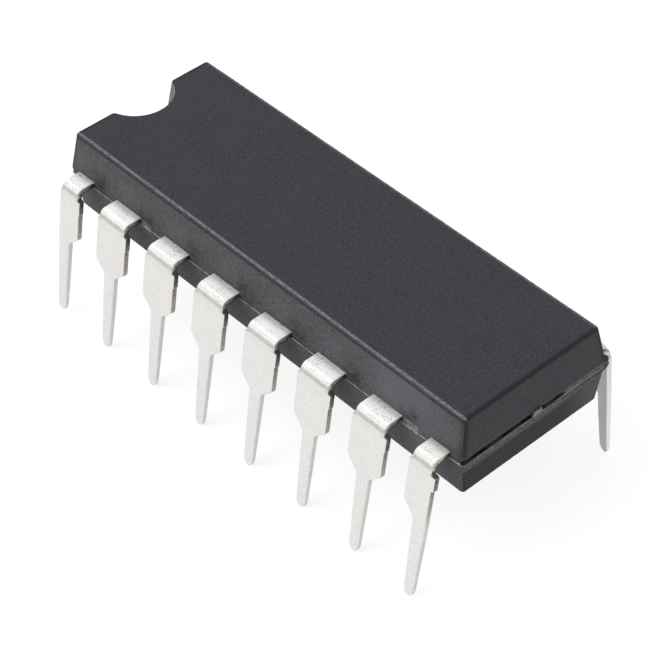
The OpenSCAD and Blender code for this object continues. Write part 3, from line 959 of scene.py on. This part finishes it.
def body_levels():
    """From the underside up: (z, inset along X, inset along Y, roughness, notch radius or its negative)."""
    lower = half_levels(PART_BOTTOM, -1, LOWER_H, LOWER_DRAFT, LOWER_END_DRAFT, LOWER_EDGE_ROUGH)[::-1]
    upper = half_levels(PART_TOP, 1, UPPER_H, UPPER_DRAFT, UPPER_END_DRAFT, UPPER_EDGE_ROUGH)
    lower += [(PART_BOTTOM + h, *others) for h, *others in LOWER_LINE]
    lower += [(PART_TOP + h, *others) for h, *others in UPPER_LINE]
    floor_z = BODY_TOP - NOTCH_DEPTH
    lower += [level for level in upper if level[0] <= floor_z]
    levels = [(*level, -NOTCH_R) for level in lower]
    floor_h = floor_z - PART_TOP
    floor = (floor_z, floor_h * slope(UPPER_END_DRAFT), floor_h * slope(UPPER_DRAFT), FLOOR_ROUGH)
    floor_r = NOTCH_R - NOTCH_DEPTH * slope(NOTCH_DRAFT)
    levels += [(*floor, -floor_r), (*floor, floor_r)]
    for z, dx, dy, rough in upper:
        if z > floor_z:
            rim = 0.0 if z < BODY_TOP - EDGE_R else dx - (z - PART_TOP) * slope(UPPER_END_DRAFT)
            wall = NOTCH_R - (BODY_TOP - z) * slope(NOTCH_DRAFT)
            levels.append((z, dx, dy, rough, wall + NOTCH_RIM * max(0.0, rim)))
    return levels


def face_side(value, half):
    """1 or -1 on the face at either end of an axis, and 0 between them."""
    return 1.0 if value > half - FACE_BAND else -1.0 if value < FACE_BAND - half else 0.0


def worn_point(x, y, z, hx, hy, dx, rough):
    """A point of the body, moved by its roughness, the filling of the groove and the lump of flash."""
    side_x, side_y = face_side(x, hx), face_side(y, hy)
    spot = Vector((x, y, z))
    amount = sum(noise.noise(spot * rate) * part for rate, part in ROUGH_LAYERS)
    flashy = FLASH_END if x / hx > FLASH_END_FROM else NOTCH_END if x / hx < NOTCH_END_FROM else 1.0
    shift = amount * rough * flashy
    rise = shift * RISE_SHARE
    above = z - PART_BOTTOM
    if dx >= GROOVE_DEPTH and abs(above) < GROOVE_NEAR:
        start, length = FILL_Y if x > 0 else NOTCH_FILL_Y
        x += side_x * (dx - FILL_LEFT) * share(((y if x > 0 else abs(y)) - start) / length)
    if x > LUMP_X and y > LUMP_Y and BANDS["lump"][0] < above < LEAD_T - 0.01:
        lump = share((x - LUMP_X) / LUMP_GROWTH) * share((y - LUMP_Y) / LUMP_GROWTH)
        x, y = x + LUMP_OUT_X * lump, y + LUMP_OUT_Y * lump
    groove_low, groove_high, _ = BANDS["groove"]
    if x > WANDER_X and groove_low < above < groove_high:
        for rate, place, height in WANDERS:
            rise += noise.noise(Vector((rate * y, place, 0.0))) * height
    return x + side_x * shift, y + side_y * shift, z + rise


def body_piece(material):
    """The moulded body, with its rough parting line and softened edges."""
    rings = []
    for z, dx, dy, rough, radius in body_levels():
        hx, hy = BODY_L / 2 - dx, BODY_W / 2 - dy
        outline = body_outline(hx, hy, radius)
        rings.append([worn_point(x, y, z, hx, hy, dx, rough) for x, y in outline])
    verts, faces = loft(rings)
    obj = mesh_object("moulded_body_finished", verts, faces, material, BODY_SHARP)
    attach(obj, "root")
    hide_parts("moulded_body")
    return obj


# Studio

# Square area lights: direction they shine from, distance and size in millimetres, and power. They
# are aimed at a point above the middle of the floor
LIGHTS = {
    "key": ((-0.38, -0.62, 0.75), 600, 480, 2.4),
    "end_fill": ((0.9, -0.1, 0.4), 600, 420, 0.3),
}
AIM_Z = 4

# The floor is paper that looks almost white by itself, so that only a faint shadow is left on it
FLOOR_HALF = 900.0
PAPER_DARK, PAPER_LIGHT = (0.925, 0.925, 0.925), (0.935, 0.935, 0.935)
FLOOR_GLOW, GLOW_SHARE = 1.13, 0.72

# Strength of the world where it lights the chip, and where it is seen
WORLD_LIGHT, WORLD_SEEN = 0.85, 1.0


def make_camera():
    azimuth, elevation = math.radians(CAMERA["azimuth"]), math.radians(CAMERA["elevation"])
    back = Vector((math.sin(azimuth) * math.cos(elevation), -math.cos(azimuth) * math.cos(elevation),
                   math.sin(elevation)))
    right = Vector((math.cos(azimuth), math.sin(azimuth), 0))
    up = back.cross(right)
    roll = Matrix.Rotation(math.radians(CAMERA["roll"]), 3, back)
    right, up = roll @ right, roll @ up
    data = bpy.data.cameras.new("photo_camera")
    data.sensor_width = SENSOR_MM
    data.lens = FOCAL_PX / IMAGE_PX * SENSOR_MM
    data.clip_start, data.clip_end = CLIP_M
    camera = bpy.data.objects.new("photo_camera", data)
    matrix = Matrix((right, up, back)).transposed().to_4x4()
    matrix.translation = (Vector(CAMERA["target"]) + back * CAMERA["distance"]) * MM
    camera.matrix_world = matrix
    bpy.context.scene.collection.objects.link(camera)
    bpy.context.scene.camera = camera


def make_light(name, direction, distance, size, power):
    data = bpy.data.lights.new(name, "AREA")
    data.shape = "SQUARE"
    data.size = size * MM
    data.energy = power
    light = bpy.data.objects.new(name, data)
    aim = Vector(direction).normalized()
    light.location = aim * distance * MM + Vector((0, 0, AIM_Z * MM))
    light.rotation_euler = aim.to_track_quat("Z", "Y").to_euler()
    bpy.context.scene.collection.objects.link(light)


def seen_directly(n):
    """1 for camera, mirror and glass rays."""
    path = n.add("LightPath")
    seen = n.larger(path.outputs["Is Camera Ray"], path.outputs["Is Glossy Ray"])
    return n.larger(seen, path.outputs["Is Transmission Ray"])


def make_floor():
    n = Surface("studio_white")
    paper = n.noise(scale=0.9, detail=2.0, rough=0.5)
    diffuse = n.add("BsdfDiffuse", Color=n.mix(paper, PAPER_DARK, PAPER_LIGHT))
    white = n.add("Emission", Color=(1, 1, 1, 1), Strength=FLOOR_GLOW)
    both = n.add("MixShader", Fac=n.times(seen_directly(n), GLOW_SHARE))
    n.put(both, 1, diffuse.outputs[0])
    n.put(both, 2, white.outputs[0])
    corners = [(-1, -1), (1, -1), (1, 1), (-1, 1)]
    obj = mesh_object("studio_floor", [(x * FLOOR_HALF, y * FLOOR_HALF, 0) for x, y in corners],
                      [(0, 1, 2, 3)], n.finish(both.outputs[0]), FLOOR_SHARP)


def make_world():
    world = bpy.data.worlds.new("studio")
    bpy.context.scene.world = world
    n = Nodes(world, "OutputWorld")
    strength = n.add("MapRange", Value=seen_directly(n), **{"To Min": WORLD_LIGHT, "To Max": WORLD_SEEN})
    background = n.add("Background", Strength=strength.outputs[0])
    n.finish(background.outputs[0])


make_camera()
make_floor()
make_world()
for name, settings in LIGHTS.items():
    make_light(name, *settings)

MATERIALS = {
    "mould_compound": mould_compound(),
    "tinned_lead": tinned_lead(),
    "copper_frame": copper_frame(),
    "die_adhesive": plain("die_adhesive", (0.40, 0.40, 0.38), (0.62, 0.62, 0.60),
                          scale=40.0, metallic=0.6, roughness=0.5),
    "silicon": plain("silicon", (0.09, 0.10, 0.13), (0.12, 0.13, 0.17),
                     scale=8.0, metallic=0.5, roughness=0.15),
    "gold_wire": plain("gold_wire", (0.80, 0.57, 0.22), (0.86, 0.63, 0.27),
                       scale=60.0, metallic=1.0, roughness=0.2),
}
for entry in frame["record"]["subparts"]:
    obj = nodes[entry["node"]]
    material = MATERIALS[entry["material_slot"]]
    for slot in obj.material_slots:
        slot.material = material

body_piece(MATERIALS["mould_compound"])
for number in range(1, 2 * ROW_LEADS + 1):
    lead_piece(number, MATERIALS["tinned_lead"])

scene = bpy.context.scene
scene.view_settings.view_transform = "Standard"
